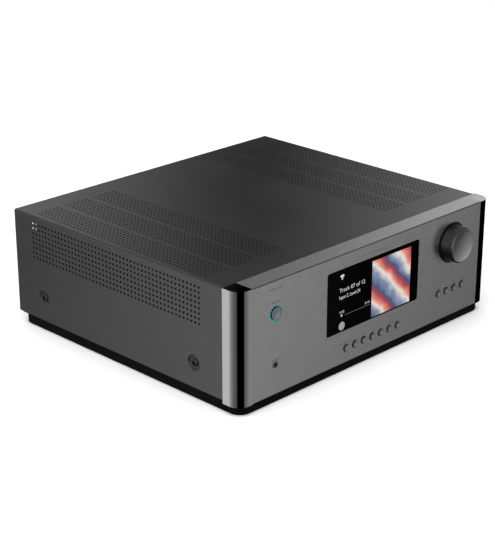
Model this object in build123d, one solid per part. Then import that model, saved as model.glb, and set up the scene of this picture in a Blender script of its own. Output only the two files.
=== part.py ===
from build123d import *
import math
import os

# Full-width stereo receiver: aluminium front panel with rounded corner pillars, a large volume knob, a
# colour display, twelve push buttons, a perforated steel top cover, and the power supply, amplifier and
# input boards inside.
#
# Millimetres. X runs across the front, Y runs from the front to the back, Z is up. The origin is the centre
# of the overall footprint, at floor level.

PARTS_FOLDER = "parts"
os.makedirs(PARTS_FOLDER, exist_ok=True)

# ---------------------------------------------------------------- driving dimensions
WIDTH = 431.0  # across the corner pillars
HEIGHT = 144.0  # floor to top cover
DEPTH = 423.4  # knob face to the ends of the speaker terminals
PANEL_HEIGHT = 132.5  # front panel, three rack units less a little
COVER_WIDTH = 428.0
COVER_LENGTH = 352.0  # top cover, front edge to back edge
KNOB_PROUD = 16.7  # knob face in front of the front panel's face
LIP_DEPTH = 24.7  # front panel's top and bottom lips, front to back
PILLAR_WIDTH = 20.5
PILLAR_RADIUS = 15.0
SHEET = 1.2  # steel sheet thickness
GAP = 0.05  # running clearance between parts that only touch

# ---------------------------------------------------------------- derived planes
FACE_Y = -DEPTH / 2 + KNOB_PROUD  # front panel's face
BACK_Y = DEPTH / 2
PANEL_BOTTOM = HEIGHT - PANEL_HEIGHT
PANEL_THICK = 8.0
PANEL_INNER_Y = FACE_Y + PANEL_THICK
LIP_Y = FACE_Y + LIP_DEPTH  # back of the lips and pillars
COVER_FRONT_Y = LIP_Y + 0.3
COVER_BACK_Y = COVER_FRONT_Y + COVER_LENGTH
COVER_BOTTOM = PANEL_BOTTOM + 3.2
PANEL_HALF = WIDTH / 2 - PILLAR_WIDTH - GAP
REAR_FACE_Y = COVER_BACK_Y - SHEET - 0.1  # outer face of the rear panel
FLOOR_TOP = PANEL_BOTTOM + SHEET  # top of the chassis floor sheet

# ---------------------------------------------------------------- front panel layout
CONTROL_Z = 106.3  # power button and volume knob
LEFT_X = -160.5  # power button and headphone socket
KNOB_X = 141.5
HEADPHONE_Z = 46.8
BUTTON_PITCH = 15.0
MENU_X0, MENU_Z, MENU_COUNT = -45.6, 29.8, 7
SOURCE_X0, SOURCE_Z, SOURCE_COUNT = 119.6, 46.4, 4
WINDOW_WIDTH, WINDOW_HEIGHT, WINDOW_Z = 158.0, 75.0, 89.4
BUTTON_RADIUS, BUTTON_PROUD, BUTTON_TRAVEL = 4.1, 1.1, 0.8
BUTTON_HOLE, BUTTON_SINK, SINK_DEPTH = 4.16, 4.8, 4.0  # guiding bore, and the wider bore in front of it
HEADPHONE_BORE, HEADPHONE_LENGTH = 1.8, 15.0
POWER_RADIUS, POWER_PROUD, POWER_TRAVEL = 7.2, 1.5, 1.2
POWER_RING_OUTER, POWER_RING_INNER = 9.2, 7.5
KNOB_BACK_RADIUS, KNOB_FACE_RADIUS, KNOB_RING_OUTER = 22.4, 21.3, 25.2
SHAFT_RADIUS = 3.0
BOARD_Y = FACE_Y + 19.0  # front face of the control boards
BOARD_THICK = 1.6
SWITCH_DEPTH = 4.0
WINDOW_BAR_Z = 133.6  # plain bar engraved above the window

# ---------------------------------------------------------------- cover perforation
HOLE_RADIUS = 1.5
HOLE_PITCH = 6.0
HOLE_ROWS = 48  # front to back, on the top and on the sides
BAND_COLUMNS = 6
BAND_STARTS = (89.6, 132.2, 174.8)  # inner edge of each top band
SIDE_ROWS = 8
SIDE_BOTTOM_Z = 92.1
FIRST_HOLE_Y = FACE_Y + 61.0
SIDE_SCREWS_Y = (FACE_Y + 70.3, FACE_Y + 328.4)
SIDE_SCREW_Z = 43.6
AIR_SLOT = ((-195.0, -184.4), (109.5, 124.0))  # open slot high in the rear panel's left corner, X and Z
DIMPLE_RADIUS, DIMPLE_FLAT, DIMPLE_DEPTH = 9.5, 6.6, 2.2
REAR_LIP_SCREW_Z = HEIGHT - 8.0

# ---------------------------------------------------------------- rear panel layout
INLET_X, INLET_Z = -165.0, 42.0
TERMINALS = {"right_minus": -112.0, "right_plus": -84.0, "left_minus": 132.0, "left_plus": 160.0}
TERMINAL_Z = 40.0
POST_RADIUS, POST_BORE = 3.0, 2.05
CAP_RADIUS, CAP_LENGTH = 8.0, 17.0
RCA_X0, RCA_PITCH_X, RCA_COLUMNS = -40.0, 20.0, 4
RCA_ROWS_Z = (98.0, 118.0)
RCA_RADIUS = 4.15
MAIN_BOARD_Z = 80.0
DIGITAL = {  # name: (x, z, width, height)
    "network": (60.0, 97.0, 16.0, 14.0),
    "usb": (84.0, 94.0, 13.5, 6.5),
    "optical_1": (106.0, 97.0, 10.0, 10.0),
    "optical_2": (124.0, 97.0, 10.0, 10.0),
    "serial": (150.0, 97.0, 20.0, 10.0),
}

# ---------------------------------------------------------------- internal layout
TORUS_X, TORUS_Y, TORUS_OUTER, TORUS_INNER, TORUS_TALL = -50.0, -88.0, 61.0, 20.0, 62.0
HEATSINK_X, HEATSINK_DEEP, HEATSINK_LONG, HEATSINK_TALL = 140.0, 62.0, 200.0, 92.0
HEATSINK_Y0 = -150.0
FOOT_X, FOOT_Y = 172.0, (-152.0, 146.0)
PLINTH_HALF, PLINTH_FRONT, PLINTH_BACK = 211.0, FACE_Y + 3.0, FACE_Y + 375.5
PLINTH_BOTTOM, PLINTH_RADIUS = 0.6, 15.0
STANDOFF_X = (-100.0, 100.0)
RIBBON_X = (112.0, 134.0)
RIBBON_X_SLOT = (RIBBON_X[0] - 1.5, RIBBON_X[1] + 1.5)
RIBBON_TOP_Z = 132.0


# ---------------------------------------------------------------- small helpers
def block(x, y, z):
    """Box between the two limits given for each axis."""
    size = (x[1] - x[0], y[1] - y[0], z[1] - z[0])
    return Pos((x[0] + x[1]) / 2, (y[0] + y[1]) / 2, (z[0] + z[1]) / 2) * Box(*size)


def rod(axis, centre, radius, start, end):
    """Cylinder along one axis; centre is its place on the other two axes, in X, Y, Z order."""
    bar = Cylinder(radius, end - start)
    middle = (start + end) / 2
    if axis == "x":
        return Pos(middle, centre[0], centre[1]) * Rot(0, 90, 0) * bar
    if axis == "y":
        return Pos(centre[0], middle, centre[1]) * Rot(90, 0, 0) * bar
    return Pos(centre[0], centre[1], middle) * bar


def turned(points, x, z):
    """Revolves an (radius, y) outline about the line through (x, z) that runs along Y."""
    outline = make_face(Polyline(*[(r, y) for r, y in points], close=True).edges())
    return Pos(x, 0, z) * revolve(outline, Axis.Y)


def save(name, *shapes):
    """Writes one node; several shapes stay separate solids in it."""
    shape = shapes[0] if len(shapes) == 1 else Compound(children=list(shapes))
    export_step(shape, os.path.join(PARTS_FOLDER, name + ".step"))


def menu_centres():
    return [(MENU_X0 + i * BUTTON_PITCH, MENU_Z) for i in range(MENU_COUNT)]


def source_centres():
    return [(SOURCE_X0 + i * BUTTON_PITCH, SOURCE_Z) for i in range(SOURCE_COUNT)]


def hole_rows_y():
    return [FIRST_HOLE_Y + i * HOLE_PITCH for i in range(HOLE_ROWS)]


def perforated(corners, centres, radii, normal, thickness):
    """Flat sheet from its corner points with a round hole at each centre, thickened along normal."""
    direction = Vector(*normal)
    outer = Wire.make_polygon([Vector(*c) for c in corners], close=True)
    holes = [
        Wire([Edge.make_circle(r, Plane(origin=c, z_dir=direction))]) for c, r in zip(centres, radii)
    ]
    return Solid.extrude(Face(outer, holes), direction * thickness)


# ---------------------------------------------------------------- enclosure
def make_top_cover():
    """Folded steel cover: vented top, vented sides with screw dimples, and a turned-down back lip."""
    half, bend = COVER_WIDTH / 2, 2.0
    rows = hole_rows_y()
    columns = [s * (b + i * HOLE_PITCH) for s in (-1, 1) for b in BAND_STARTS for i in range(BAND_COLUMNS)]
    top_z = HEIGHT - SHEET
    flat = half - bend
    corners = [(-flat, COVER_FRONT_Y), (flat, COVER_FRONT_Y), (flat, COVER_BACK_Y), (-flat, COVER_BACK_Y)]
    centres = [(x, y, top_z) for x in columns for y in rows]
    cover = perforated(
        [(x, y, top_z) for x, y in corners], centres, [HOLE_RADIUS] * len(centres), (0, 0, 1), SHEET
    )
    side_holes = [(y, SIDE_BOTTOM_Z + k * HOLE_PITCH) for y in rows for k in range(SIDE_ROWS)]
    dimples = [(y, SIDE_SCREW_Z) for y in SIDE_SCREWS_Y]
    radii = [HOLE_RADIUS] * len(side_holes) + [DIMPLE_RADIUS] * len(dimples)
    ends = [
        (COVER_FRONT_Y, COVER_BOTTOM),
        (COVER_BACK_Y, COVER_BOTTOM),
        (COVER_BACK_Y, HEIGHT - bend),
        (COVER_FRONT_Y, HEIGHT - bend),
    ]
    length = COVER_BACK_Y - COVER_FRONT_Y
    middle_y = (COVER_FRONT_Y + COVER_BACK_Y) / 2
    for side in (-1, 1):
        inner_x = side * (half - SHEET)
        wall = perforated(
            [(inner_x, y, z) for y, z in ends],
            [(inner_x, y, z) for y, z in side_holes + dimples],
            radii,
            (side, 0, 0),
            SHEET,
        )
        corner = Pos(side * flat, middle_y, HEIGHT - bend)
        tube = Rot(90, 0, 0) * (Cylinder(bend, length) - Cylinder(bend - SHEET, length))
        fold = (corner * tube) & block(
            sorted((side * flat, side * half)), (COVER_FRONT_Y, COVER_BACK_Y), (HEIGHT - bend, HEIGHT)
        )
        cover = cover + wall + fold
        for y, z in dimples:
            cover = cover + make_dimple(side, y, z)
    lip_half = flat - 3.0
    lip = block((-lip_half, lip_half), (COVER_BACK_Y - SHEET, COVER_BACK_Y), (HEIGHT - 13.0, top_z))
    for x in rear_lip_screws():
        lip -= rod("y", (x, REAR_LIP_SCREW_Z), 1.9, COVER_BACK_Y - 2 * SHEET, COVER_BACK_Y + SHEET)
    save("top_cover", cover + lip)


def rear_lip_screws():
    return (-190.0, 0.0, 190.0)


def make_dimple(side, y, z):
    """Cup pressed into the cover's side, with the screw hole in its flat floor."""
    floor = DIMPLE_DEPTH + SHEET
    outline = [
        (DIMPLE_RADIUS, 0.0),
        (DIMPLE_FLAT, -DIMPLE_DEPTH),
        (2.4, -DIMPLE_DEPTH),
        (2.4, -floor),
        (DIMPLE_FLAT - 0.4, -floor),
        (DIMPLE_RADIUS, -SHEET),
    ]
    face = make_face(Polyline(*outline, close=True).edges())
    cup = revolve(face, Axis.Y)
    return Pos(side * COVER_WIDTH / 2, y, z) * Rot(0, 0, -90 * side) * cup


def make_side_screws():
    """Four button-head screws with hexagon sockets, one in each dimple."""
    head = [(0, 0), (2.9, 0), (4.4, -0.6), (5.2, -1.7), (5.2, -2.15)]
    shank = [(1.9, -2.15), (1.9, -9), (0, -9)]
    socket = Pos(0, -0.7, 0) * Rot(90, 0, 0) * extrude(RegularPolygon(2.7, 6), amount=1.1, both=True)
    screw = revolve(make_face(Polyline(*head, *shank, close=True).edges()), Axis.Y) - socket
    screws = []
    for side in (-1, 1):
        for y in SIDE_SCREWS_Y:
            place = Pos(side * (COVER_WIDTH / 2 - 0.03), y, SIDE_SCREW_Z) * Rot(0, 0, -90 * side)
            screws.append(place * screw)
    save("side_screws", *screws)


def make_chassis():
    """Steel floor tray with two side flanges that the cover screws into."""
    outer = COVER_WIDTH / 2 - DIMPLE_DEPTH - SHEET - 0.1
    y = (LIP_Y + 0.2, REAR_FACE_Y - SHEET - 0.1)
    tray = block((-outer, outer), y, (PANEL_BOTTOM, FLOOR_TOP))
    for side in (-1, 1):
        x = sorted((side * outer, side * (outer - SHEET)))
        tray += block(x, (y[0] + 3.0, y[1] - 1.0), (PANEL_BOTTOM, 72.0))
        for screw_y in SIDE_SCREWS_Y:
            tray -= rod("x", (screw_y, SIDE_SCREW_Z), 2.05, x[0] - 1, x[1] + 1)
        for foot_y in FOOT_Y:
            tray -= rod("z", (side * FOOT_X, foot_y), 2.1, PANEL_BOTTOM - 1, FLOOR_TOP + 1)
    for row in range(6):
        for column in range(9):
            tray -= rod("z", (-60 + column * 15.0, 30 + row * 9.0), 2.0, PANEL_BOTTOM - 1, FLOOR_TOP + 1)
    tray -= rod("z", (TORUS_X, TORUS_Y), 4.1, PANEL_BOTTOM - 1, FLOOR_TOP + 1)
    save("bottom_chassis", tray)


def make_plinth():
    """Black base under the chassis, a shallow hollow tray with rounded corners."""
    y = (PLINTH_FRONT, PLINTH_BACK)
    middle, size = sum(y) / 2, y[1] - y[0]
    height = PANEL_BOTTOM - PLINTH_BOTTOM
    plan = RectangleRounded(2 * PLINTH_HALF, size, PLINTH_RADIUS)
    outer = Pos(0, middle, PLINTH_BOTTOM) * extrude(plan, height)
    wall, roof = 2.5, 2.0
    inner = RectangleRounded(2 * (PLINTH_HALF - wall), size - 2 * wall, PLINTH_RADIUS - wall)
    plinth = outer - Pos(0, middle, PLINTH_BOTTOM - 1) * extrude(inner, height - roof + 1)
    lower = plinth.edges().filter_by(Plane.XY).group_by(Axis.Z)[0]
    plinth = chamfer(lower.filter_by(lambda e: abs(e.center().Y - middle) > 0.4 * size), 0.4)
    for x in (-FOOT_X, FOOT_X):
        for foot_y in FOOT_Y:
            plinth -= rod("z", (x, foot_y), 2.1, PLINTH_BOTTOM, PANEL_BOTTOM + 1)
    plinth -= rod("z", (TORUS_X, TORUS_Y), 9.0, PLINTH_BOTTOM, PANEL_BOTTOM + 1)
    save("base_plinth", plinth)


def make_feet():
    """Four rubber feet under the plinth and the screws that hold them and the plinth to the chassis."""
    feet, screws = [], []
    for x in (-FOOT_X, FOOT_X):
        for y in FOOT_Y:
            foot = rod("z", (x, y), 18.0, 0.0, PANEL_BOTTOM - 2.0)
            foot = chamfer(foot.edges().group_by(Axis.Z)[0], 0.6)
            foot -= rod("z", (x, y), 5.0, -1.0, 5.0) + rod("z", (x, y), 2.1, 4.0, PANEL_BOTTOM)
            feet.append(foot)
            screws.append(rod("z", (x, y), 4.4, 2.8, 5.0) + rod("z", (x, y), 2.0, 4.9, FLOOR_TOP + 2.0))
    save("rubber_feet", *feet)
    save("foot_screws", *screws)


# ---------------------------------------------------------------- front
def button_hole(centre):
    """Guiding bore with a wider, deep bore in front of it that leaves a dark gap round the button."""
    guide = rod("y", centre, BUTTON_HOLE, FACE_Y, PANEL_INNER_Y + 1)
    return guide + rod("y", centre, BUTTON_SINK, FACE_Y - 1, FACE_Y + SINK_DEPTH)


def panel_cuts():
    """Everything that passes through the front panel's face."""
    through = (FACE_Y - 1, PANEL_INNER_Y + 1)
    cuts = [button_hole(c) for c in menu_centres() + source_centres()]
    cuts.append(rod("y", (LEFT_X, CONTROL_Z), POWER_RADIUS + 0.08, *through))
    cuts.append(rod("y", (LEFT_X, CONTROL_Z), POWER_RING_OUTER + 0.1, FACE_Y - 1, FACE_Y + 3.3))
    cuts.append(rod("y", (LEFT_X, HEADPHONE_Z), 4.2, *through))
    cuts.append(rod("y", (KNOB_X, CONTROL_Z), KNOB_RING_OUTER, FACE_Y - 1, FACE_Y + 2.5))
    cuts.append(rod("y", (KNOB_X, CONTROL_Z), 4.7, *through))
    frame = RectangleRounded(WINDOW_WIDTH + 0.4, WINDOW_HEIGHT + 0.4, 3.2)
    opening = Pos(0, 0, WINDOW_Z) * Rot(90, 0, 0) * frame
    cuts.append(Pos(0, PANEL_INNER_Y + 1, 0) * extrude(opening, PANEL_THICK + 2))
    bar = Pos(0, 0, WINDOW_BAR_Z) * Rot(90, 0, 0) * SlotOverall(52.0, 2.2)
    cuts.append(Pos(0, FACE_Y + 0.4, 0) * extrude(bar, 1.4))
    return cuts


def make_front_panel():
    """Aluminium channel: thick face, deep top lip, shallow bottom lip."""
    top_lip = bottom_lip = 6.0
    x = (-PANEL_HALF, PANEL_HALF)
    panel = block(x, (FACE_Y, LIP_Y), (PANEL_BOTTOM, HEIGHT))
    panel -= block(
        (x[0] - 1, x[1] + 1), (PANEL_INNER_Y, LIP_Y + 1), (PANEL_BOTTOM + bottom_lip, HEIGHT - top_lip)
    )
    front_edges = panel.edges().filter_by(Axis.X).group_by(Axis.Y)[0]
    panel = chamfer(front_edges, 0.9)
    for cut in panel_cuts():
        panel -= cut
    for sx, sz in lip_screws():
        panel -= rod("y", (sx, sz), 1.25, LIP_Y - 12, LIP_Y + 1)
    save("front_panel", panel)


def lip_screws():
    return [(x, z) for x in (-165.0, -55.0, 55.0, 165.0) for z in (PANEL_BOTTOM + 3.6, HEIGHT - 3.6)]


def pillar_screws():
    return [(s * 203.0, z) for s in (-1, 1) for z in (32.0, 124.0)]


def pillar_outline():
    """Right-hand pillar in plan: square at the back, a quarter round at the outer front corner."""
    inner_x, outer_x = WIDTH / 2 - PILLAR_WIDTH, WIDTH / 2
    centre = (outer_x - PILLAR_RADIUS, FACE_Y + PILLAR_RADIUS)
    front = (centre[0], FACE_Y)
    side = (outer_x, centre[1])
    curve = RadiusArc(front, side, -PILLAR_RADIUS)
    lines = [
        Line((inner_x, LIP_Y), (inner_x, FACE_Y)),
        Line((inner_x, FACE_Y), front),
        Line(side, (outer_x, LIP_Y)),
        Line((outer_x, LIP_Y), (inner_x, LIP_Y)),
    ]
    return make_face([curve, *lines])


def make_pillars():
    """Two rounded and polished aluminium corner extrusions, hollowed out behind."""
    pillar = Pos(0, 0, PANEL_BOTTOM) * extrude(pillar_outline(), PANEL_HEIGHT)
    pillar -= block((WIDTH / 2 - PILLAR_WIDTH + 3, WIDTH / 2 - 3), (LIP_Y - 7, LIP_Y + 1), (42.0, 114.0))
    for x, z in pillar_screws():
        if x > 0:
            pillar -= rod("y", (x, z), 1.25, LIP_Y - 12, LIP_Y + 1)
    save("right_pillar", pillar)
    save("left_pillar", mirror(pillar, Plane.YZ))


def make_subpanel():
    """Steel inner front that carries the front panel and pillars."""
    y = (LIP_Y + 0.05, LIP_Y + 2.05)
    outer = COVER_WIDTH / 2 - DIMPLE_DEPTH - SHEET - 2.0
    plate = block((-outer, outer), (y[0] + 0.2, y[1]), (FLOOR_TOP + 0.05, HEIGHT - SHEET - 0.3))
    for x, z in lip_screws() + pillar_screws():
        plate -= rod("y", (x, z), 1.6, y[0] - 1, y[1] + 1)
    plate -= block(RIBBON_X_SLOT, (y[0] - 1, y[1] + 1), (RIBBON_TOP_Z - 3.0, RIBBON_TOP_Z + 2.0))
    save("front_subpanel", plate)


def make_panel_screws():
    """Pan-head screws through the subpanel into the lips and pillars."""
    head_y = LIP_Y + 2.1
    screws = []
    for centre in lip_screws() + pillar_screws():
        shank = rod("y", centre, 1.2, LIP_Y - 9.0, head_y + 0.1)
        screws.append(shank + rod("y", centre, 2.2, head_y, head_y + 1.6))
    save("panel_screws", *screws)


def make_display():
    """Glass window, the panel behind it, and the bracket that holds both."""
    y0 = FACE_Y + 0.25
    glass = Pos(0, 0, WINDOW_Z) * Rot(90, 0, 0) * RectangleRounded(WINDOW_WIDTH, WINDOW_HEIGHT, 3.0)
    save("display_window", Pos(0, y0 + 1.8, 0) * extrude(glass, 1.8))
    module_z = (WINDOW_Z - 36.5, WINDOW_Z + 36.5)
    save("display_panel", block((-64.0, 73.0), (y0 + 2.3, PANEL_INNER_Y - 0.5), module_z))
    y = (PANEL_INNER_Y + GAP, PANEL_INNER_Y + GAP + SHEET)
    bracket = block((-84.0, 84.0), y, (WINDOW_Z - 38.0, WINDOW_Z + 46.0))
    bracket -= block((-40.0, 46.0), (y[0] - 1, y[1] + 1), (WINDOW_Z - 26.0, WINDOW_Z + 26.0))
    save("display_bracket", bracket)


def button(centre, radius, proud, collar, stem_end):
    """Cap with a slightly dished face, a collar behind the panel and a stem towards its switch."""
    face = FACE_Y - proud
    collar_y = PANEL_INNER_Y + GAP
    outline = [
        (0, face + 0.25),
        (radius - 1.0, face),
        (radius - 0.35, face + 0.05),
        (radius, face + 0.4),
        (radius, collar_y),
        (collar, collar_y),
        (collar, collar_y + 1.2),
        (1.5, collar_y + 1.2),
        (1.5, stem_end),
        (0, stem_end),
    ]
    return turned(outline, *centre)


def make_buttons():
    """Seven menu buttons, four source buttons and the power button."""
    stem_end = BOARD_Y - SWITCH_DEPTH - BUTTON_TRAVEL - 0.2
    for group, centres in (("menu", menu_centres()), ("source", source_centres())):
        for i, centre in enumerate(centres):
            save(f"{group}_button_{i + 1}", button(centre, BUTTON_RADIUS, BUTTON_PROUD, 5.2, stem_end))
    stem_end = BOARD_Y - SWITCH_DEPTH - POWER_TRAVEL - 0.2
    save("power_button", button((LEFT_X, CONTROL_Z), POWER_RADIUS, POWER_PROUD, 8.6, stem_end))


def make_light_rings():
    """Clear light guides round the power button and behind the knob."""
    inner, outer = POWER_RING_INNER, POWER_RING_OUTER
    y = (FACE_Y + 0.3, FACE_Y + 3.3)
    ring = [(inner, y[0] + 0.6), (inner + 0.6, y[0]), (outer, y[0]), (outer, y[1]), (inner, y[1])]
    save("power_light_ring", turned(ring, LEFT_X, CONTROL_Z))
    y = (FACE_Y + 1.1, FACE_Y + 2.5)
    outer = KNOB_RING_OUTER - 0.1
    ring = [(18.0, y[0]), (outer, y[0]), (outer, y[1]), (18.0, y[1])]
    save("volume_light_ring", turned(ring, KNOB_X, CONTROL_Z))


def make_knob():
    """Hollow aluminium knob with a dished face, and the encoder it turns."""
    face, back = FACE_Y - KNOB_PROUD, FACE_Y + 0.5
    bore = SHAFT_RADIUS + 0.02
    dish = [(0, face + 1.9), (6, face + 1.78), (11, face + 1.4), (15, face + 0.9), (18.6, face + 0.25)]
    rim = [(19.4, face), (20.3, face), (KNOB_FACE_RADIUS, face + 1.0), (KNOB_FACE_RADIUS + 0.35, face + 2.6)]
    waist = KNOB_BACK_RADIUS - 0.5
    skirt = [(waist, face + 9.0), (KNOB_BACK_RADIUS, back - 1.2), (waist, back)]
    inside = [(18.6, back), (18.6, face + 5.0), (7.0, face + 5.0), (7.0, back - 1), (bore, back - 1)]
    outline = dish + rim + skirt + inside + [(bore, face + 5.0), (0, face + 5.0)]
    save("volume_knob", turned(outline, KNOB_X, CONTROL_Z))
    shaft_back = BOARD_Y - 2.5
    shaft = rod("y", (KNOB_X, CONTROL_Z), SHAFT_RADIUS, face + 5.2, shaft_back)
    save("encoder_shaft", shaft)
    body = block((KNOB_X - 7, KNOB_X + 7), (PANEL_INNER_Y + 1.0, BOARD_Y), (CONTROL_Z - 7, CONTROL_Z + 7))
    body += rod("y", (KNOB_X, CONTROL_Z), 4.5, FACE_Y + 2.0, PANEL_INNER_Y + 1.1)
    body -= rod("y", (KNOB_X, CONTROL_Z), SHAFT_RADIUS + GAP, FACE_Y, shaft_back + 0.1)
    save("encoder_body", body)
    hexagon = extrude(Rot(90, 0, 0) * RegularPolygon(7.0, 6), 1.7)
    nut = Pos(KNOB_X, FACE_Y + 2.4, CONTROL_Z) * hexagon
    save("encoder_nut", nut - rod("y", (KNOB_X, CONTROL_Z), 4.5 + GAP, FACE_Y, FACE_Y + 3))


def make_headphone_jack():
    """3.5 mm socket: a round nose through the panel and a moulded body behind it."""
    centre = (LEFT_X, HEADPHONE_Z)
    jack = rod("y", centre, 4.1, FACE_Y - 0.3, PANEL_INNER_Y + 0.2)
    body_x, body_z = (LEFT_X - 6, LEFT_X + 6), (HEADPHONE_Z - 6, HEADPHONE_Z + 6)
    jack += block(body_x, (PANEL_INNER_Y + 0.1, BOARD_Y), body_z)
    jack -= rod("y", centre, HEADPHONE_BORE, FACE_Y - 1, FACE_Y + HEADPHONE_LENGTH)
    save("headphone_jack", jack)


def make_control_boards():
    """Boards behind the front panel and the tactile switches on them."""
    y = (BOARD_Y, BOARD_Y + BOARD_THICK)
    board = block((-62.0, 182.0), y, (19.0, 50.0))
    board += block((118.0, 168.0), y, (50.0, 126.0))
    save("control_boards", board, block((LEFT_X - 18, LEFT_X + 18), y, (32.0, 124.0)))
    switches = []
    for x, z in menu_centres() + source_centres() + [(LEFT_X, CONTROL_Z)]:
        switches.append(block((x - 3, x + 3), (BOARD_Y - SWITCH_DEPTH, BOARD_Y), (z - 3, z + 3)))
    save("tact_switches", *switches)


# ---------------------------------------------------------------- rear
def rca_centres():
    return [(RCA_X0 + i * RCA_PITCH_X, z) for z in RCA_ROWS_Z for i in range(RCA_COLUMNS)]


def make_rear_panel():
    """Steel rear panel with cut-outs for every connector, and foot and top flanges."""
    outer = COVER_WIDTH / 2 - DIMPLE_DEPTH - SHEET - 2.0
    y = (REAR_FACE_Y - SHEET, REAR_FACE_Y)
    z = (FLOOR_TOP + 0.05, HEIGHT - SHEET - 0.1)
    panel = block((-outer, outer), y, z)
    panel += block((-outer, outer), (y[0] - 11.0, y[0] + 0.1), (z[0], z[0] + SHEET))
    panel += block((-outer, outer), (y[0] - 11.0, y[0] + 0.1), (z[1] - SHEET, z[1]))
    through = (y[0] - 1, y[1] + 1)
    panel -= block((INLET_X - 14.3, INLET_X + 14.3), through, (INLET_Z - 10.3, INLET_Z + 10.3))
    for x in TERMINALS.values():
        panel -= rod("y", (x, TERMINAL_Z), 5.1, *through)
    for centre in rca_centres():
        panel -= rod("y", centre, 4.4, *through)
    for x, dz, w, h in DIGITAL.values():
        panel -= block((x - w / 2 - 0.2, x + w / 2 + 0.2), through, (dz - h / 2 - 0.2, dz + h / 2 + 0.2))
    panel -= block(AIR_SLOT[0], through, AIR_SLOT[1])
    for x in rear_lip_screws():
        panel -= rod("y", (x, REAR_LIP_SCREW_Z), 1.6, *through)
    for column in range(14):
        for row in range(5):
            panel -= rod("y", (60.0 + column * 8.0, 112.0 + row * 5.0 - 0.5), 1.6, *through)
    save("rear_panel", panel)


def make_rear_screws():
    """Pan-head screws through the cover's back lip into the rear panel."""
    head_y = COVER_BACK_Y + 0.05
    screws = []
    for x in rear_lip_screws():
        centre = (x, REAR_LIP_SCREW_Z)
        screw = rod("y", centre, 1.5, head_y - 7.0, head_y + 0.1)
        screw += rod("y", centre, 3.2, head_y, head_y + 1.9)
        for turn in (0, 90):
            slot = Pos(x, head_y + 1.9, REAR_LIP_SCREW_Z) * Rot(0, turn, 0) * Box(3.4, 1.6, 0.7)
            screw -= slot
        screws.append(screw)
    save("rear_screws", *screws)


def make_inlet():
    """Three-pin mains inlet with an open shroud and flange."""
    x, z = INLET_X, INLET_Z
    flange = block((x - 25, x + 25), (REAR_FACE_Y + GAP, REAR_FACE_Y + 2.6), (z - 11.5, z + 11.5))
    inlet = flange + block((x - 14, x + 14), (REAR_FACE_Y - 22, REAR_FACE_Y + 0.2), (z - 10, z + 10))
    inlet -= block((x - 12.2, x + 12.2), (REAR_FACE_Y - 15, REAR_FACE_Y + 3), (z - 8.2, z + 8.2))
    for px, pz in ((-7.0, -1.5), (0.0, 2.5), (7.0, -1.5)):
        pin_y = (REAR_FACE_Y - 16, REAR_FACE_Y + 0.5)
        inlet += block((x + px - 1, x + px + 1), pin_y, (z + pz - 2.2, z + pz + 2.2))
    save("mains_inlet", inlet)


def make_terminals():
    """Speaker terminals: insulated bases and hollow metal posts, with a screw cap on each."""
    bases, end = [], BACK_Y - 1.0
    for x in TERMINALS.values():
        centre = (x, TERMINAL_Z)
        post = rod("y", centre, 5.0, REAR_FACE_Y - 9, REAR_FACE_Y + 0.1)
        post += rod("y", centre, 9.0, REAR_FACE_Y + GAP, REAR_FACE_Y + 3.0)
        post += rod("y", centre, POST_RADIUS, REAR_FACE_Y + 2.9, end)
        post -= rod("y", centre, POST_BORE, end - 20.0, end + 1)
        bases.append(post)
    save("terminal_posts", *bases)
    start = BACK_Y - CAP_LENGTH
    for name, x in TERMINALS.items():
        centre = (x, TERMINAL_Z)
        cap = rod("y", centre, CAP_RADIUS, start, BACK_Y)
        cap = chamfer(cap.edges().group_by(Axis.Y)[-1], 1.2)
        cap -= rod("y", centre, POST_RADIUS + GAP, start - 1, BACK_Y + 1)
        for i in range(12):
            angle = math.radians(30 * i)
            groove = (x + 8.6 * math.cos(angle), TERMINAL_Z + 8.6 * math.sin(angle))
            cap -= rod("y", groove, 1.3, start - 1, BACK_Y + 1)
        save(f"terminal_cap_{name}", cap)


def make_sockets():
    """Line-level phono sockets and the digital socket block, all standing on the main board."""
    shells = []
    top = MAIN_BOARD_Z + BOARD_THICK
    for x, z in rca_centres():
        shell = rod("y", (x, z), RCA_RADIUS, REAR_FACE_Y - 5, REAR_FACE_Y + 8.0)
        shell -= rod("y", (x, z), 1.7, REAR_FACE_Y - 3, REAR_FACE_Y + 9.0)
        shells.append(shell)
    save("phono_sockets", *shells)
    span = (RCA_X0 - 9, RCA_X0 + (RCA_COLUMNS - 1) * RCA_PITCH_X + 9)
    carrier = block(span, (REAR_FACE_Y - 15, REAR_FACE_Y - 5.05), (top + GAP, RCA_ROWS_Z[1] + 8))
    save("phono_carrier", carrier)
    blocks = []
    for x, z, w, h in DIGITAL.values():
        left, right, low, high = x - w / 2, x + w / 2, z - h / 2, z + h / 2
        body = block((left, right), (REAR_FACE_Y - 16, REAR_FACE_Y + 0.6), (low, high))
        mouth_y = (REAR_FACE_Y - 11, REAR_FACE_Y + 1)
        blocks.append(body - block((left + 1, right - 1), mouth_y, (low + 1, high - 1)))
    save("digital_sockets", *blocks)


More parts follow.
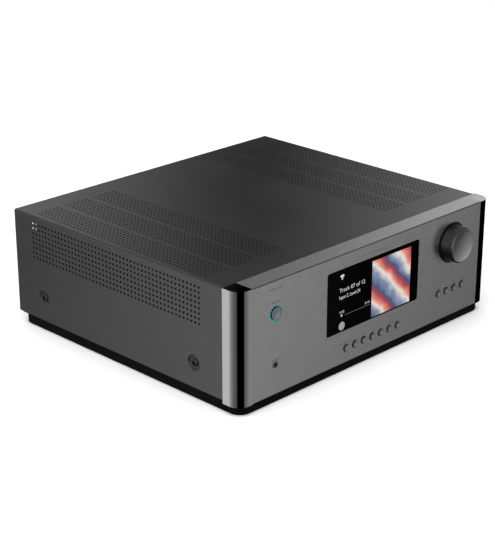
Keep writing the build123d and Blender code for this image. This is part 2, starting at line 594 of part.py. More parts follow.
# ---------------------------------------------------------------- inside
def make_transformer():
    """Toroidal mains transformer with its dished clamp washer and centre bolt."""
    base = FLOOR_TOP + 2.0
    middle = (TORUS_OUTER + TORUS_INNER) / 2
    winding = RectangleRounded(TORUS_OUTER - TORUS_INNER, TORUS_TALL, 11.0)
    coil = Rot(90, 0, 0) * revolve(Pos(middle, base + TORUS_TALL / 2) * winding, Axis.Y)
    save("toroidal_transformer", Pos(TORUS_X, TORUS_Y, 0) * coil)
    pad = rod("z", (TORUS_X, TORUS_Y), 54.0, FLOOR_TOP + 0.05, base - 0.05)
    save("transformer_pad", pad - rod("z", (TORUS_X, TORUS_Y), 6.0, FLOOR_TOP - 1, base + 1))
    top = base + TORUS_TALL
    clamp = rod("z", (TORUS_X, TORUS_Y), 44.0, top + 0.05, top + 2.0)
    clamp += rod("z", (TORUS_X, TORUS_Y), 16.0, top - 4.0, top + 2.0)
    clamp -= rod("z", (TORUS_X, TORUS_Y), 13.0, top - 2.0, top + 3.0)
    clamp += rod("z", (TORUS_X, TORUS_Y), 4.0, PANEL_BOTTOM - 3.0, top + 3.5)
    clamp += Pos(TORUS_X, TORUS_Y, top - 2.05) * extrude(RegularPolygon(7.5, 6), 6.0)
    save("transformer_clamp", clamp)


def make_heatsinks():
    """Finned extrusions under the two vented zones, with the output transistors bolted to them."""
    fins, base, thick = 11, 8.0, 2.2
    z = (FLOOR_TOP + 6.0, FLOOR_TOP + 6.0 + HEATSINK_TALL)
    y = (HEATSINK_Y0, HEATSINK_Y0 + HEATSINK_LONG)
    sink = block((HEATSINK_X, HEATSINK_X + base), y, z)
    pitch = (HEATSINK_LONG - thick) / (2 * fins - 1)
    for i in range(2 * fins):
        start = y[0] + i * pitch
        sink += block((HEATSINK_X + base - 1, HEATSINK_X + HEATSINK_DEEP), (start, start + thick), z)
    sink += block((HEATSINK_X, HEATSINK_X + base), y, (FLOOR_TOP + 0.05, z[0] + 1))
    save("right_heatsink", sink)
    save("left_heatsink", mirror(sink, Plane.YZ))
    cases = []
    for side in (-1, 1):
        x = sorted((side * (HEATSINK_X - 0.05), side * (HEATSINK_X - 5.0)))
        for i in range(4):
            ty = HEATSINK_Y0 + 35.0 + i * 42.0
            cases.append(block(x, (ty - 8, ty + 8), (60.0, 80.0)))
    save("output_transistors", *cases)


def make_boards():
    """Amplifier boards beside each heatsink, supply board with its capacitors, and the main board."""
    boards = []
    for side in (-1, 1):
        x = sorted((side * (HEATSINK_X - 10.0), side * (HEATSINK_X - 10.0 + BOARD_THICK)))
        y = (HEATSINK_Y0 + 6.0, HEATSINK_Y0 + HEATSINK_LONG - 6.0)
        boards.append(block(x, y, (FLOOR_TOP + 4.0, 100.0)))
    save("amplifier_boards", *boards)
    supply_z = (FLOOR_TOP + 6.0, FLOOR_TOP + 6.0 + BOARD_THICK)
    save("power_supply_board", block((22.0, 108.0), (-150.0, -52.0), supply_z))
    cans = []
    for x in (42.0, 86.0):
        for y in (-128.0, -84.0):
            can = rod("z", (x, y), 17.5, supply_z[1] + 0.05, supply_z[1] + 52.0)
            can = chamfer(can.edges().group_by(Axis.Z)[-1], 1.2)
            cans.append(can)
    save("reservoir_capacitors", *cans)
    main_z = (MAIN_BOARD_Z, MAIN_BOARD_Z + BOARD_THICK)
    save("main_board", block((-110.0, 180.0), (70.0, REAR_FACE_Y - SHEET - 0.5), main_z))
    module = block((60.0, 108.0), (84.0, 128.0), (main_z[1] + GAP, main_z[1] + 9.0))
    save("network_module", module)
    low, tall = [], []
    for x in STANDOFF_X:
        tall += [rod("z", (x, y), 3.5, FLOOR_TOP + 0.05, main_z[0] - 0.05) for y in (80.0, 165.0)]
    for x in (28.0, 102.0):
        low += [rod("z", (x, y), 3.0, FLOOR_TOP + 0.05, supply_z[0] - 0.05) for y in (-145.0, -57.0)]
    save("board_standoffs", *tall, *low)


def make_ribbon():
    """Flat cable from the main board, over the boards, to the control board behind the front panel."""
    thick, top = 1.0, RIBBON_TOP_Z
    rear_y, front_y = 80.0, BOARD_Y + BOARD_THICK + 0.6
    base = MAIN_BOARD_Z + BOARD_THICK + 0.1
    cable = block(RIBBON_X, (rear_y, rear_y + thick), (base, top))
    cable += block(RIBBON_X, (front_y, rear_y + thick), (top - thick, top))
    cable += block(RIBBON_X, (front_y, front_y + thick), (112.0, top))
    cable += block((RIBBON_X[0] - 1, RIBBON_X[1] + 1), (rear_y - 3, rear_y + 4), (base, base + 7))
    save("ribbon_cable", cable)


def main():
    make_top_cover()
    make_side_screws()
    make_chassis()
    make_plinth()
    make_feet()
    make_front_panel()
    make_pillars()
    make_subpanel()
    make_panel_screws()
    make_display()
    make_buttons()
    make_light_rings()
    make_knob()
    make_headphone_jack()
    make_control_boards()
    make_rear_panel()
    make_rear_screws()
    make_inlet()
    make_terminals()
    make_sockets()
    make_transformer()
    make_heatsinks()
    make_boards()
    make_ribbon()


main()
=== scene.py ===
import bpy
import bmesh
import math
import random
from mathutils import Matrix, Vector


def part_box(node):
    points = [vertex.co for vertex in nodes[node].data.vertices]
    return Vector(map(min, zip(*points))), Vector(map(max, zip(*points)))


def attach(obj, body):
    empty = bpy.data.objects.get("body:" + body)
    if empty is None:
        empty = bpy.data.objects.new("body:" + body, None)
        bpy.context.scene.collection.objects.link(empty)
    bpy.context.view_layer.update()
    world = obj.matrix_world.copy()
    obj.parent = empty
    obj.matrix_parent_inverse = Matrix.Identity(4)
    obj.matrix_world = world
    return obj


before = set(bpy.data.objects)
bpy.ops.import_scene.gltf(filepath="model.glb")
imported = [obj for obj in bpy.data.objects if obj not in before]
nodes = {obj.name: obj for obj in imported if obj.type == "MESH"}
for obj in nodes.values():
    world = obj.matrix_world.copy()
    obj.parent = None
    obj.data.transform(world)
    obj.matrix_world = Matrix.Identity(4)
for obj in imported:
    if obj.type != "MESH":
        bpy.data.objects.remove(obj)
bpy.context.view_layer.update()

scene = bpy.context.scene
MM = 0.001

# ------------------------------------------------------------------ node helpers


class Nodes:
    """Short helpers for adding and linking nodes in a tree, which starts out empty."""

    def __init__(self, tree):
        self.tree = tree
        tree.nodes.clear()

    def node(self, kind, **values):
        """Adds a node. A name that starts with _ is one of its inputs, any other is a setting."""
        n = self.tree.nodes.new("ShaderNode" + kind)
        for key, value in values.items():
            if key.startswith("_"):
                self.put(n.inputs[key[1:].replace("_", " ")], value)
            else:
                setattr(n, key, value)
        return n

    def put(self, socket, value):
        if isinstance(value, bpy.types.NodeSocket):
            self.tree.links.new(value, socket)
        else:
            socket.default_value = value

    def math(self, op, a, b=0.0, c=0.0):
        n = self.tree.nodes.new("ShaderNodeMath")
        n.operation = op
        for socket, value in zip(n.inputs, (a, b, c)):
            self.put(socket, value)
        return n.outputs[0]

    def coords(self):
        """Object coordinates, which are the row frame in metres."""
        return self.node("TexCoord").outputs["Object"]

    def scaled(self, vector, scale):
        return self.node("Mapping", _Vector=vector, _Scale=scale).outputs[0]

    def noise(self, vector, scale, detail=3.0, rough=0.5):
        n = self.node("TexNoise", _Vector=vector, _Scale=scale, _Detail=detail, _Roughness=rough)
        return n.outputs["Fac"]

    def ramp(self, fac, stops):
        n = self.tree.nodes.new("ShaderNodeValToRGB")
        ramp = n.color_ramp
        while len(ramp.elements) > len(stops):
            ramp.elements.remove(ramp.elements[-1])
        while len(ramp.elements) < len(stops):
            ramp.elements.new(1.0)
        for element, (place, colour) in zip(ramp.elements, stops):
            element.position = place
            element.color = colour if len(colour) == 4 else (*colour, 1.0)
        self.put(n.inputs[0], fac)
        return n.outputs[0]

    def mix(self, fac, a, b, blend="MIX"):
        n = self.tree.nodes.new("ShaderNodeMix")
        n.data_type = "RGBA"
        n.blend_type = blend
        self.put(n.inputs[0], fac)
        self.put(n.inputs[6], a)
        self.put(n.inputs[7], b)
        return n.outputs[2]

    def limits(self, value, source, target):
        """Maps one range of a value onto another, and holds it inside."""
        n = self.node("MapRange", _Value=value)
        for socket, number in zip(list(n.inputs)[1:5], (*source, *target)):
            self.put(socket, number)
        return n.outputs[0]

    def spread(self, fac, low, high):
        """Maps noise around 0.5 to low..high."""
        return self.limits(fac, (0.3, 0.7), (low, high))

    def shade(self, colour, tone):
        """Multiplies a colour by a single number."""
        both = self.node("CombineColor", _Red=tone, _Green=tone, _Blue=tone).outputs[0]
        return self.mix(1.0, colour, both, "MULTIPLY")

    def bump(self, height, strength, distance):
        return self.node("Bump", _Height=height, _Strength=strength, _Distance=distance).outputs[0]


class Shader(Nodes):
    """A material built from nodes."""

    def __init__(self, name):
        self.mat = bpy.data.materials.new(name)
        self.mat.use_nodes = True
        super().__init__(self.mat.node_tree)
        self.out = self.tree.nodes.new("ShaderNodeOutputMaterial")

    def principled(self, **values):
        n = self.tree.nodes.new("ShaderNodeBsdfPrincipled")
        for key, value in values.items():
            self.put(n.inputs[key.replace("_", " ")], value)
        self.tree.links.new(n.outputs[0], self.out.inputs[0])


def grey(value, tint=(1.0, 1.0, 1.0)):
    return (value * tint[0], value * tint[1], value * tint[2], 1.0)


# ------------------------------------------------------------------ materials

# For each round part: the radius of its face's edge, and the level to which the side wall past it is dimmed
# as painted shade.
SMALL_WALL, POWER_WALL, KNOB_WALL = (3.75 * MM, 0.06), (7.1 * MM, 0.3), (20.9 * MM, 0.32)  # radius, level
JACK_BORE = 1.9 * MM
TAPE_TURNS = 46


def powder_coat(name, value, rough, spec=0.5):
    """Satin painted steel: fine orange-peel bump and slight blotching."""
    s = Shader(name)
    at = s.coords()
    fine = s.noise(at, 2600.0, 2.0)
    cloud = s.noise(at, 9.0, 3.0)
    tone = s.math("MULTIPLY", s.spread(fine, 0.94, 1.06), s.spread(cloud, 0.96, 1.04))
    s.principled(
        Base_Color=s.shade(grey(value, (1.0, 1.0, 1.015)), tone),
        Roughness=s.spread(cloud, rough - 0.02, rough + 0.02),
        Specular_IOR_Level=spec,
        Normal=s.bump(fine, 0.05, 0.2 * MM),
    )
    return s.mat


def brushed(name, value, rough, contrast):
    """Brushed anodised aluminium: coarse and fine streaks drawn out along X."""
    s = Shader(name)
    at = s.coords()
    coarse = s.noise(s.scaled(at, (1, 16, 16)), 60.0, 2.0)
    fine = s.noise(s.scaled(at, (1, 20, 20)), 110.0, 3.0, 0.55)
    low, high = 1 - contrast, 1 + contrast
    tone = s.math("MULTIPLY", s.spread(coarse, low, high), s.spread(fine, low, high))
    s.principled(
        Base_Color=s.shade(grey(value), tone),
        Metallic=1.0,
        Roughness=s.spread(fine, rough - 0.02, rough + 0.02),
        Normal=s.bump(fine, 0.05, 0.1 * MM),
    )
    return s.mat


def polished(name, value, rough):
    """Polished metal with faint wipe marks in its roughness."""
    s = Shader(name)
    at = s.coords()
    wipes = s.noise(s.scaled(at, (1, 1, 0.2)), 60.0, 4.0)
    s.principled(Base_Color=grey(value), Metallic=1.0, Roughness=s.spread(wipes, rough * 0.7, rough * 1.3))
    return s.mat


def axis_of(node):
    """X and Z of the middle of a round node, whose axis runs along Y."""
    low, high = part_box(node)
    return (low.x + high.x) / 2, (low.z + high.z) / 2


def radius_from(s, centre):
    """Distance in metres from an axis along Y."""
    parts = s.node("SeparateXYZ", _Vector=s.coords())
    dx = s.math("SUBTRACT", parts.outputs[0], centre[0])
    dz = s.math("SUBTRACT", parts.outputs[2], centre[1])
    return s.math("SQRT", s.math("ADD", s.math("MULTIPLY", dx, dx), s.math("MULTIPLY", dz, dz)))


def turned_metal(name, value, rough, node, wall):
    """Metal turned on a lathe, with rings round the node's axis, and painted shade past the wall's radius:
    the side wall is dimmed to stand for the shadow and dark reflection on it.
    """
    s = Shader(name)
    radius = radius_from(s, axis_of(node))
    rings = s.noise(s.node("CombineXYZ", _X=radius, _Y=0.0, _Z=0.0).outputs[0], 4000.0, 3.0)
    edge, level = wall
    # Painted shade: past the edge radius the base colour drops to the wall's level.
    painted_wall_shade = s.limits(radius, (edge - 0.3 * MM, edge), (1.0, level))
    s.principled(
        Base_Color=s.shade(grey(value), s.math("MULTIPLY", s.spread(rings, 0.98, 1.02), painted_wall_shade)),
        Metallic=1.0,
        Roughness=s.spread(rings, rough - 0.01, rough + 0.01),
    )
    return s.mat


def moulded(name, colour, rough, spec=0.5, grain=0.15):
    """Moulded plastic or rubber with a fine spark texture."""
    s = Shader(name)
    at = s.coords()
    fine = s.noise(at, 1800.0, 2.0)
    cloud = s.noise(at, 20.0)
    s.principled(
        Base_Color=s.shade(colour, s.spread(cloud, 0.92, 1.08)),
        Roughness=s.spread(fine, rough - 0.04, rough + 0.04),
        Specular_IOR_Level=spec,
        Normal=s.bump(fine, grain, 0.1 * MM),
    )
    return s.mat


def socket_plastic(node, value, bore):
    """Round socket nose: grey moulding, with painted shade in black inside the bore's radius."""
    s = Shader(node + "_moulding")
    grain = s.noise(s.coords(), 1800.0, 2.0)
    # Painted shade: inside the bore's radius the colour goes near black, standing for the shadow in the
    # hole.
    outside = s.limits(radius_from(s, axis_of(node)), (bore, bore + 0.2 * MM), (0.0, 1.0))
    colour = s.mix(outside, grey(0.001), grey(value))
    s.principled(
        Base_Color=s.shade(colour, s.spread(grain, 0.9, 1.1)),
        Roughness=0.45,
        Normal=s.bump(grain, 0.15, 0.1 * MM),
    )
    return s.mat


def metal(name, colour, rough, scale=(1, 1, 1)):
    """Plain metal with a fine grain, drawn out along an axis where scale says so."""
    s = Shader(name)
    at = s.coords()
    fine = s.noise(s.scaled(at, scale), 400.0, 4.0)
    tinted = s.shade(colour, s.spread(fine, 0.9, 1.1))
    s.principled(Base_Color=tinted, Metallic=1.0, Roughness=s.spread(fine, rough - 0.05, rough + 0.05))
    return s.mat


def glowing(name, colour, strength, lit_side):
    """Light guide: brighter towards lit_side, a direction in the XZ plane."""
    s = Shader(name)
    low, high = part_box(name)
    radius = (high.x - low.x) / 2
    centre_x, centre_z = axis_of(name)
    parts = s.node("SeparateXYZ", _Vector=s.coords())
    dx = s.math("DIVIDE", s.math("SUBTRACT", parts.outputs[0], centre_x), radius)
    dz = s.math("DIVIDE", s.math("SUBTRACT", parts.outputs[2], centre_z), radius)
    side = s.math("ADD", s.math("MULTIPLY", dx, lit_side[0]), s.math("MULTIPLY", dz, lit_side[1]))
    flicker = s.noise(s.coords(), 220.0)
    level = s.math("MULTIPLY", s.math("MULTIPLY_ADD", side, 0.35, 0.65), s.spread(flicker, 0.9, 1.1))
    s.principled(
        Base_Color=grey(0.4, colour),
        Roughness=0.3,
        Emission_Color=colour,
        Emission_Strength=s.math("MULTIPLY", level, strength),
    )
    return s.mat


def screen_glass(name):
    """Black glass: near mirror-smooth with a trace of smudging."""
    s = Shader(name)
    smudge = s.noise(s.coords(), 35.0, 4.0)
    tone = s.spread(smudge, 0.0003, 0.0006)
    colour = s.node("CombineColor", _Red=tone, _Green=tone, _Blue=tone).outputs[0]
    s.principled(Base_Color=colour, Roughness=s.spread(smudge, 0.04, 0.1), Specular_IOR_Level=0.035)
    return s.mat


def circuit(name):
    """Green solder mask with traces and pale pads."""
    s = Shader(name)
    traces = s.node("TexVoronoi", _Vector=s.coords(), _Scale=160.0, distance="MANHATTAN", feature="F1")
    pad, trace, mask = (0.55, 0.55, 0.55), (0.02, 0.12, 0.05), (0.012, 0.08, 0.035)
    colour = s.ramp(traces.outputs["Distance"], [(0.0, pad), (0.12, trace), (0.5, mask)])
    s.principled(Base_Color=colour, Roughness=0.4)
    return s.mat


def ribbed(name, colour, stripes):
    """Flat cable: parallel cores shown as stripes across X, with painted shade in the grooves between them.
    """
    s = Shader(name)
    wave = s.node("TexWave", _Vector=s.coords(), _Scale=stripes, bands_direction="X").outputs["Fac"]
    # Painted shade: the colour drops to 0.55 of itself in the grooves between the cores.
    tinted = s.ramp(wave, [(0.0, grey(0.55, colour)), (0.6, colour)])
    s.principled(Base_Color=tinted, Roughness=0.55, Normal=s.bump(wave, 0.5, 0.3 * MM))
    return s.mat


def wound_tape(name):
    """Transformer wrap: overlapping tape turned round the ring, with painted shade at each seam and a
    painted highlight on the raised edge next to it.
    """
    s = Shader(name)
    low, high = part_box(name)
    centre = (low + high) / 2
    parts = s.node("SeparateXYZ", _Vector=s.coords())
    across = s.math("SUBTRACT", parts.outputs[0], centre.x)
    angle = s.math("ARCTAN2", s.math("SUBTRACT", parts.outputs[1], centre.y), across)
    wrap = s.math("FRACT", s.math("MULTIPLY", angle, TAPE_TURNS / math.tau))
    # Painted shade at the seam and a painted highlight just past it, fading to the tape's own colour.
    seam_shade, ridge_highlight, tape = (0.01, 0.01, 0.012), (0.05, 0.05, 0.055), (0.03, 0.03, 0.034)
    colour = s.ramp(wrap, [(0.0, seam_shade), (0.15, ridge_highlight), (1.0, tape)])
    s.principled(Base_Color=colour, Roughness=0.35, Normal=s.bump(wrap, 0.4, 0.4 * MM))
    return s.mat


def button_metal(node):
    wall = POWER_WALL if node == "power_button" else SMALL_WALL
    return turned_metal(node + "_turned", 0.5, 0.32, node, wall)


def make_materials():
    """Gives every node its material."""
    sheet = metal("zinc_sheet", (0.6, 0.6, 0.62, 1.0), 0.4)
    fastener = metal("plated_fastener", (0.62, 0.62, 0.62, 1.0), 0.28)
    dark_fastener = metal("black_fastener", (0.09, 0.09, 0.09, 1.0), 0.35)
    anodised = metal("black_anodised", (0.03, 0.03, 0.032, 1.0), 0.45, (1, 1, 20))
    black = moulded("black_moulding", grey(0.012), 0.5)
    rubber = moulded("foot_rubber", grey(0.02), 0.8, 0.3, 0.4)
    gold = metal("gold_plate", (0.83, 0.6, 0.24, 1.0), 0.25)
    board = circuit("solder_mask")
    red_cap = moulded("cap_red", (0.35, 0.012, 0.012, 1.0), 0.3)
    black_cap = moulded("cap_black", grey(0.012), 0.3)
    cover = powder_coat("cover_powder_coat", 0.017, 0.22, spec=0.8)
    panel = brushed("panel_brushed", 0.62, 0.32, 0.075)
    pillar = polished("pillar_polished", 0.42, 0.06)
    table = {
        cover: ["top_cover"],
        powder_coat("rear_powder_coat", 0.03, 0.5): ["rear_panel"],
        powder_coat("tray_powder_coat", 0.008, 0.5): ["bottom_chassis"],
        sheet: ["front_subpanel", "display_bracket", "network_module"],
        metal("nickel_shell", (0.66, 0.64, 0.6, 1.0), 0.3): ["digital_sockets"],
        fastener: ["panel_screws", "foot_screws", "transformer_clamp", "encoder_shaft", "encoder_nut"],
        dark_fastener: ["rear_screws", "side_screws"],
        anodised: ["left_heatsink", "right_heatsink"],
        socket_plastic("headphone_jack", 0.045, JACK_BORE): ["headphone_jack"],
        black: ["encoder_body", "tact_switches", "output_transistors", "mains_inlet", "phono_carrier"],
        # The base is near black: partly its own black moulding, partly painted shade standing for the dark
        # shadow under the set.
        moulded("plinth_moulding_and_shade", grey(0.0025), 0.5, 0.06): ["base_plinth"],
        rubber: ["rubber_feet", "transformer_pad"],
        gold: ["terminal_posts", "phono_sockets", "board_standoffs"],
        board: ["control_boards", "amplifier_boards", "power_supply_board", "main_board"],
        panel: ["front_panel"],
        pillar: ["left_pillar", "right_pillar"],
        screen_glass("display_glass"): ["display_window"],
        moulded("display_module", grey(0.02), 0.3): ["display_panel"],
        moulded("capacitor_sleeve", (0.012, 0.016, 0.05, 1.0), 0.3): ["reservoir_capacitors"],
        red_cap: ["terminal_cap_left_plus", "terminal_cap_right_plus"],
        black_cap: ["terminal_cap_left_minus", "terminal_cap_right_minus"],
        ribbed("ribbon_cores", (0.35, 0.35, 0.36), 400.0): ["ribbon_cable"],
        wound_tape("toroidal_transformer"): ["toroidal_transformer"],
        glowing("power_light_ring", (0.035, 0.22, 0.27, 1.0), 0.9, (-1.2, -0.3)): ["power_light_ring"],
        glowing("volume_light_ring", (0.002, 0.004, 0.012, 1.0), 1.0, (-0.3, 0.3)): ["volume_light_ring"],
        turned_metal("knob_turned", 0.42, 0.36, "volume_knob", KNOB_WALL): ["volume_knob"],
    }
    for node in nodes:
        if "_button" in node:
            table[button_metal(node)] = [node]
    for material, names in table.items():
        for name in names:
            mesh = nodes[name].data
            mesh.materials.clear()
            mesh.materials.append(material)


make_materials()

# ------------------------------------------------------------------ printed marks and the lit display

panel_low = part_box("front_panel")[0]
glass_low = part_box("display_window")[0]
PRINT_THICK, LIT_THICK = 0.03 * MM, 0.04 * MM
FILLED = 0.9  # how much of the gap in front of a surface a thin layer fills, so that it never touches it
THINNER_LETTERS = -0.010  # how far the letters' outlines are drawn in, in letter heights
WELD = 0.001 * MM


def prism_mesh(name, outlines, front_y, thick):
    """Closed thin solids from (x, z) outlines in millimetres, with their front faces at front_y."""
    bm = bmesh.new()
    for outline in outlines:
        front = [bm.verts.new((x * MM, front_y, z * MM)) for x, z in outline]
        face = bm.faces.new(front)
        swept = bmesh.ops.extrude_face_region(bm, geom=[face])
        moved = [v for v in swept["geom"] if isinstance(v, bmesh.types.BMVert)]
        bmesh.ops.translate(bm, verts=moved, vec=(0, thick, 0))
    bmesh.ops.recalc_face_normals(bm, faces=bm.faces)
    mesh = bpy.data.meshes.new(name)
    bm.to_mesh(mesh)
    bm.free()
    return mesh


def add_piece(name, mesh, material):
    """Shows a mesh as a named piece that rides on the chassis."""
    mesh.materials.append(material)
    piece = bpy.data.objects.new(name, mesh)
    scene.collection.objects.link(piece)
    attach(piece, "chassis")


def bar(x0, x1, z0, z1):
    return [(x0, z0), (x1, z0), (x1, z1), (x0, z1)]


def disc(x, z, radius, count=40):
    step = math.tau / count
    return [(x + radius * math.cos(i * step), z + radius * math.sin(i * step)) for i in range(count)]


def fan(x, z, inner, outer, half_angle, count=14):
    """Part of a ring, opening upwards."""
    angles = [math.pi / 2 + half_angle * (2 * i / count - 1) for i in range(count + 1)]
    low = [(x + inner * math.cos(a), z + inner * math.sin(a)) for a in angles]
    high = [(x + outer * math.cos(a), z + outer * math.sin(a)) for a in reversed(angles)]
    return low + high


def dashes(x0, x1, z, tall, rng):
    """A row of short marks that stands for a small printed label."""
    marks, x = [], x0
    while x < x1 - 0.5:
        wide = rng.uniform(0.5, 1.0)
        marks.append(bar(x, min(x + wide, x1), z - tall / 2, z + tall / 2))
        x += wide + rng.uniform(0.25, 0.4)
    return marks


def text_mesh(name, lines, front_y, thick):
    """Mesh of several text lines, each (text, left x, baseline z, letter height, wanted width) in mm."""
    bm = bmesh.new()
    for text, x, z, tall, wide in lines:
        curve = bpy.data.curves.new(name + "_line", "FONT")
        curve.body = text
        curve.extrude = 0.5
        curve.resolution_u = 4
        curve.offset = THINNER_LETTERS
        holder = bpy.data.objects.new(name + "_line", curve)
        scene.collection.objects.link(holder)
        bpy.context.view_layer.update()
        depsgraph = bpy.context.evaluated_depsgraph_get()
        made = bpy.data.meshes.new_from_object(holder.evaluated_get(depsgraph))
        xs = [v.co.x for v in made.vertices]
        ys = [v.co.y for v in made.vertices]
        x_scale, z_scale = wide / (max(xs) - min(xs)), tall / max(ys)
        left = min(xs)
        for v in made.vertices:
            across, up = x + (v.co.x - left) * x_scale, z + v.co.y * z_scale
            v.co = Vector((across * MM, front_y + (0.5 - v.co.z) * thick, up * MM))
        bm.from_mesh(made)
        bpy.data.objects.remove(holder)
        bpy.data.meshes.remove(made)
        bpy.data.curves.remove(curve)
    bmesh.ops.remove_doubles(bm, verts=bm.verts, dist=WELD)
    bmesh.ops.recalc_face_normals(bm, faces=bm.faces)
    mesh = bpy.data.meshes.new(name)
    bm.to_mesh(mesh)
    bm.free()
    return mesh


def lit(name, colour, strength):
    """Part of the display's picture: a fine pixel grid in an emitting colour."""
    s = Shader(name)
    grid = s.node("TexWave", _Vector=s.coords(), _Scale=900.0, bands_direction="X").outputs["Fac"]
    level = s.math("MULTIPLY", s.limits(grid, (0.0, 1.0), (0.94, 1.06)), strength)
    s.principled(Base_Color=grey(0.01), Roughness=0.3, Emission_Color=colour, Emission_Strength=level)
    return s.mat


def print_ink(name, colour):
    """Screen-printed ink, slightly uneven."""
    s = Shader(name)
    patches = s.noise(s.coords(), 900.0, 3.0)
    s.principled(Base_Color=s.shade(colour, s.spread(patches, 0.8, 1.2)), Roughness=0.6)
    return s.mat


# The display's layout, in millimetres: X from the middle of the set, Z above the floor.
ART_X, ART_Z = (-3.5, 65.0), (53.4, 121.8)
SIGNAL_AT, SIGNAL_DOT, SIGNAL_ARCS, ARC_WIDTH, ARC_SPREAD = (-54.4, 115.0), 0.9, (1.7, 3.8), 1.5, 42
PAUSE_X, PAUSE_Z = ((-55.4, -54.6), (-53.8, -53.0)), (70.2, 72.8)
PROGRESS_X, PROGRESS_Z = (-49.0, -6.0), (70.6, 71.1)
SOURCE_DOT_AT, SOURCE_DOT_RADIUS = (-53.7, 58.7), 5.0
SCREEN_LINES = [  # text, left X, baseline Z, letter height, width
    ("Track 07 of 12", -58.6, 99.5, 4.6, 43.0),
    ("Input 2, Level 24", -58.5, 91.3, 4.2, 34.8),
    ("0:42", -57.6, 74.4, 2.6, 7.6),
    ("3:10", -14.9, 73.2, 2.6, 7.6),
]
ART_BANDS = 3  # how often the colours below repeat from corner to corner
ART_COLOURS = [  # place within one repeat, colour
    (0.0, (0.04, 0.06, 0.15)),
    (0.25, (0.20, 0.25, 0.38)),
    (0.45, (0.78, 0.70, 0.62)),
    (0.60, (0.72, 0.22, 0.16)),
    (0.80, (0.35, 0.04, 0.06)),
    (1.0, (0.04, 0.06, 0.15)),
]


def artwork_material():
    """Generic picture: soft, slightly wavy diagonal bands of colour."""
    s = Shader("abstract_artwork")
    parts = s.node("SeparateXYZ", _Vector=s.coords())
    across = s.limits(parts.outputs[0], tuple(v * MM for v in ART_X), (0.0, 1.0))
    above = s.limits(parts.outputs[2], tuple(v * MM for v in ART_Z), (0.0, 1.0))
    sway = s.noise(s.node("CombineXYZ", _X=across, _Y=above, _Z=0.0).outputs[0], 2.5, 2.0)
    along = s.math("MULTIPLY_ADD", s.math("SUBTRACT", sway, 0.5), 0.5, s.math("ADD", across, above))
    place = s.math("FRACT", s.math("MULTIPLY", along, ART_BANDS / 2))
    colour = s.ramp(place, ART_COLOURS)
    s.principled(Base_Color=grey(0.01), Roughness=0.3, Emission_Color=colour, Emission_Strength=1.0)
    return s.mat


def make_display_picture():
    """The lit picture, as thin layers just in front of the window."""
    front, thick = glass_low.y - LIT_THICK, LIT_THICK * FILLED
    white = lit("screen_white", (0.80, 0.81, 0.82, 1.0), 1.0)
    dim_grey = lit("screen_grey", (0.11, 0.115, 0.12, 1.0), 1.0)
    pale = lit("screen_pale", (0.30, 0.32, 0.34, 1.0), 1.0)
    symbols = [disc(*SIGNAL_AT, SIGNAL_DOT, 16)]
    symbols += [fan(*SIGNAL_AT, r, r + ARC_WIDTH, math.radians(ARC_SPREAD)) for r in SIGNAL_ARCS]
    symbols += [bar(*side, *PAUSE_Z) for side in PAUSE_X]
    shapes = {
        "screen_artwork": ([bar(*ART_X, *ART_Z)], artwork_material()),
        "screen_symbols": (symbols, white),
        "screen_progress": ([bar(*PROGRESS_X, *PROGRESS_Z)], dim_grey),
        "screen_source_dot": ([disc(*SOURCE_DOT_AT, SOURCE_DOT_RADIUS)], pale),
    }
    for name, (outlines, material) in shapes.items():
        add_piece(name, prism_mesh(name, outlines, front, thick), material)
    add_piece("screen_text", text_mesh("screen_text", SCREEN_LINES, front, thick), white)


make_display_picture()

LABEL_ROWS = [  # x from, x to, z, height of the marks
    (-167.4, -153.5, 119.6, 1.3), (-170.6, -149.7, 134.5, 1.3), (-167.0, -154.0, 52.5, 1.3),
    (-55.6, -36.1, 36.3, 0.9), (-21.4, -10.0, 36.3, 0.9), (-4.3, 3.7, 36.3, 0.9), (11.9, 14.9, 36.3, 0.9),
    (25.7, 38.6, 36.3, 0.9), (40.7, 52.2, 36.3, 0.9), (114.2, 124.2, 53.0, 0.9), (133.6, 135.6, 53.0, 0.9),
    (148.6, 150.6, 53.0, 0.9), (159.9, 169.1, 53.0, 0.9),
]


def make_panel_marks():
    """Rows of printed marks that stand for the small labels."""
    rng = random.Random(3)
    marks = []
    for x0, x1, z, tall in LABEL_ROWS:
        marks += dashes(x0, x1, z, tall, rng)
    mesh = prism_mesh("panel_marks", marks, panel_low.y - PRINT_THICK, PRINT_THICK * FILLED)
    add_piece("panel_marks", mesh, print_ink("tan_ink", (0.10, 0.082, 0.055, 1.0)))


make_panel_marks()

# ------------------------------------------------------------------ world

# What mirror-like surfaces see. Each table runs round the compass, in degrees from +Y towards +X, and gives
# a level: below the horizon, at the horizon and above it.
LOWER_MIRROR = [
    (0, 0.25), (20, 0.10), (30, 0.0), (129, 0.0), (133, 0.48), (154, 0.31), (179, 0.20), (181, 0.0),
    (239.5, 0.0), (241, 0.144), (255, 0.18), (272, 0.28), (290, 0.46), (305, 0.76), (312, 1.05), (316, 1.1),
    (319, 0.6), (322, 0.22), (326, 0.08), (345, 0.12), (360, 0.25),
]
HORIZON_MIRROR = [
    (0, 0.6), (30, 0.5), (37, 0.0), (51, 0.0), (58, 0.6), (90, 0.5), (122, 0.6), (138, 1.1), (160, 1.1),
    (200, 0.6), (260, 0.7), (316, 0.9), (324, 0.25), (360, 0.6),
]
UPPER_MIRROR = [
    (0, 0.25), (20, 0.35), (30, 0.6), (37, 0.5), (43, 0.1), (44, 0.0), (46.5, 0.0), (48, 0.1), (53.4, 0.5),
    (54.2, 1.0), (55.2, 1.0), (56, 0.6), (80, 0.7), (90, 0.03), (180, 0.03), (200, 0.3), (260, 0.5),
    (320, 0.3), (360, 0.25),
]

# Ranges of a direction's Z over which the floor darkens and one table hands over to the next.
FLOOR_DARKENS, LOWER_TO_HORIZON, HORIZON_TO_UPPER = (-0.8, -0.45), (-0.28, -0.08), (0.05, 0.25)
DARKEST_FLOOR = 0.3
FILL_LEVEL = 0.91


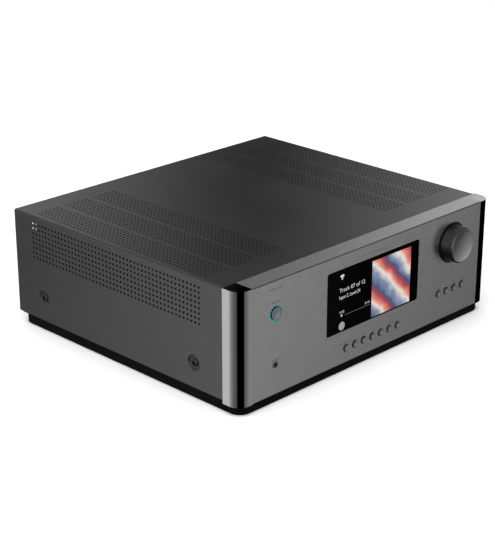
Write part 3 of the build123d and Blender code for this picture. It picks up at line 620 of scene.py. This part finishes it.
def make_world():
    """White behind the set for the camera, the tables above for mirrors, and an even fill for the rest."""
    world = bpy.data.worlds.new("studio")
    scene.world = world
    world.use_nodes = True
    s = Nodes(world.node_tree)
    out = s.tree.nodes.new("ShaderNodeOutputWorld")
    parts = s.node("SeparateXYZ", _Vector=s.node("TexCoord").outputs["Generated"])
    heading = s.math("DIVIDE", s.math("ARCTAN2", parts.outputs[0], parts.outputs[1]), math.tau)
    heading = s.math("FRACT", s.math("ADD", heading, 1.0))
    height = parts.outputs[2]
    lower, horizon, upper = (
        s.ramp(heading, [(h / 360, grey(v)) for h, v in table])
        for table in (LOWER_MIRROR, HORIZON_MIRROR, UPPER_MIRROR)
    )
    lower = s.shade(lower, s.limits(height, FLOOR_DARKENS, (DARKEST_FLOOR, 1.0)))
    mirror = s.mix(s.limits(height, LOWER_TO_HORIZON, (0.0, 1.0)), lower, horizon)
    mirror = s.mix(s.limits(height, HORIZON_TO_UPPER, (0.0, 1.0)), mirror, upper)
    path = s.node("LightPath")
    plain = s.node("Background", _Color=grey(1.0), _Strength=1.0)
    fill = s.node("Background", _Color=grey(1.0), _Strength=FILL_LEVEL)
    seen = s.node("Background", _Color=mirror, _Strength=1.0)
    first = s.node("MixShader", _Fac=path.outputs["Is Glossy Ray"])
    s.tree.links.new(fill.outputs[0], first.inputs[1])
    s.tree.links.new(seen.outputs[0], first.inputs[2])
    second = s.node("MixShader", _Fac=path.outputs["Is Camera Ray"])
    s.tree.links.new(first.outputs[0], second.inputs[1])
    s.tree.links.new(plain.outputs[0], second.inputs[2])
    s.tree.links.new(second.outputs[0], out.inputs[0])


make_world()


LIGHTS = [  # name, place, the point it faces, side length, watts
    ("overhead_softbox", (-0.45, -0.1, 1.9), (0, 0, 0.1), 1.8, 24.0),
    ("front_softbox", (0.4, -2.0, 1.1), (0, 0, 0.07), 1.2, 8.0),
    ("left_softbox", (-1.2, -0.5, 0.7), (-0.22, 0.0, 0.02), 0.8, 4.0),
]


def make_lights():
    """Square softboxes, which mirrors don't see."""
    for name, place, target, side, power in LIGHTS:
        data = bpy.data.lights.new(name, "AREA")
        data.shape = "SQUARE"
        data.size = side
        data.energy = power
        lamp = bpy.data.objects.new(name, data)
        lamp.location = place
        lamp.rotation_euler = (Vector(target) - Vector(place)).to_track_quat("-Z", "Y").to_euler()
        lamp.visible_glossy = False
        scene.collection.objects.link(lamp)


make_lights()

FLOOR_HALF = 9.0


def make_floor():
    """Plain pale paper, which mirrors don't see."""
    s = Shader("floor_paper")
    tone = s.spread(s.noise(s.coords(), 3.0), 0.925, 0.935)
    colour = s.node("CombineColor", _Red=tone, _Green=tone, _Blue=tone).outputs[0]
    bsdf = s.node("BsdfDiffuse", _Color=colour)
    s.tree.links.new(bsdf.outputs[0], s.out.inputs[0])
    mesh = bpy.data.meshes.new("floor")
    corners = [(x * FLOOR_HALF, y * FLOOR_HALF, 0) for x, y in ((-1, -1), (1, -1), (1, 1), (-1, 1))]
    mesh.from_pydata(corners, [], [(0, 1, 2, 3)])
    mesh.materials.append(s.mat)
    floor = bpy.data.objects.new("floor", mesh)
    scene.collection.objects.link(floor)
    floor.visible_glossy = False


make_floor()

# ------------------------------------------------------------------ camera

HEADING, LOOK_DOWN = math.radians(45.33), math.radians(21.71)
CAMERA_PLACE = (-1.2263, -1.2068, 0.7350)
SENSOR_HEIGHT, FOCAL_LENGTH = 36.0, 99.2945  # millimetres


def make_camera():
    data = bpy.data.cameras.new("camera")
    data.sensor_fit = "VERTICAL"
    data.sensor_height = SENSOR_HEIGHT
    data.lens = FOCAL_LENGTH
    data.clip_start = 0.01
    camera = bpy.data.objects.new("camera", data)
    camera.location = CAMERA_PLACE
    level = math.cos(LOOK_DOWN)
    look = Vector((math.sin(HEADING) * level, math.cos(HEADING) * level, -math.sin(LOOK_DOWN)))
    camera.rotation_euler = look.to_track_quat("-Z", "Y").to_euler()
    scene.collection.objects.link(camera)
    scene.camera = camera


make_camera()
scene.view_settings.view_transform = "Standard"
